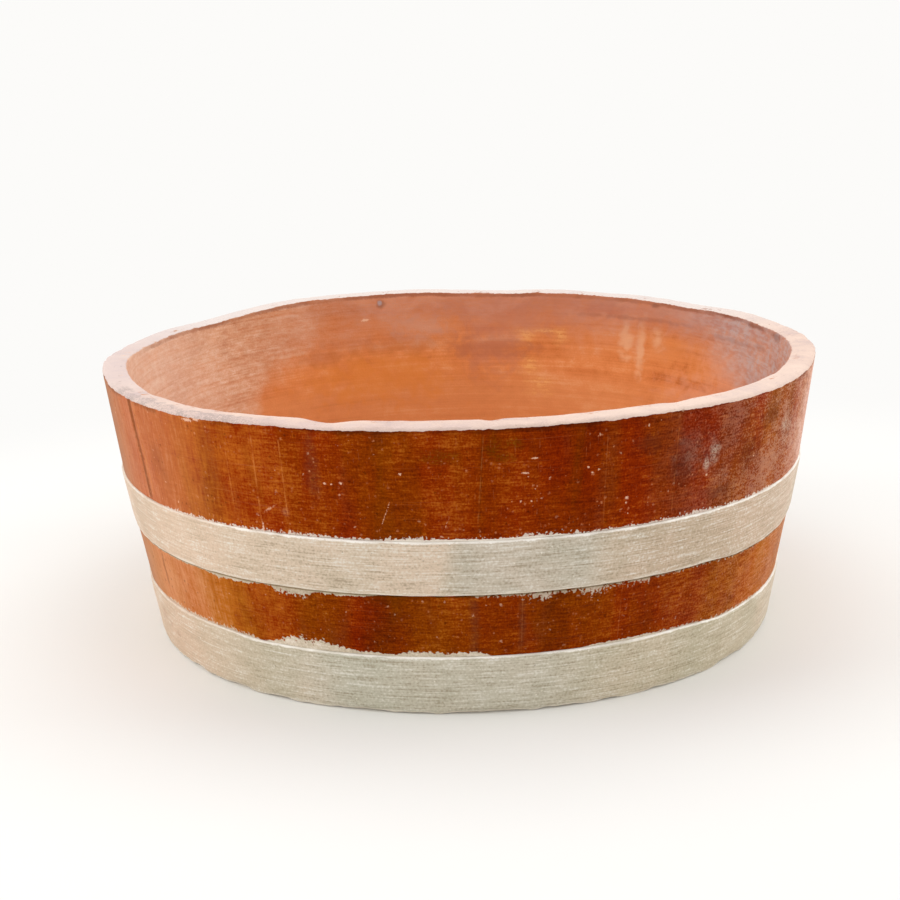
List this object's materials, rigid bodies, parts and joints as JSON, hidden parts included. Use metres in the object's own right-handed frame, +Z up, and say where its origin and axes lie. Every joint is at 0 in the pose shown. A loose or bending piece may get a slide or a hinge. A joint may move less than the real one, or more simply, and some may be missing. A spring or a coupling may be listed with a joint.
{
  "type": "barrel planter",
  "caption": "Shallow round concrete planter in the form of a cut-down barrel: tapered wall with raised bands, thick open rim, and a floor that falls to a drain.",
  "frame": {"origin": "on the ground, under the middle of the planter", "axes": "+Z up along the planter's axis, -Y towards the side that the picture shows"},
  "size_m": [0.699, 0.6988, 0.264],
  "materials": {
    "stained_concrete": "cast concrete under a brushed wood-brown stain, rubbed bare on the rim",
    "silver_paint": "raised render brushed with silver-grey paint, satin",
    "floor_concrete": "trowelled concrete under the same stain, matt",
    "drain_plastic": "plain grey pipe",
    "steel_wire": "drawn wire with a light bloom of rust"
  },
  "bodies": {
    "root": {"wall_shell": "stained_concrete", "floor_slab": "floor_concrete", "corner_fillet": "floor_concrete", "drain_sleeve": "drain_plastic", "upper_band": "silver_paint", "lower_band": "silver_paint", "rim_ring": "steel_wire", "waist_ring": "steel_wire", "foot_ring": "steel_wire", "upright_wires": "steel_wire", "floor_wires_lower": "steel_wire", "floor_wires_upper": "steel_wire"}
  },
  "joints": []
}
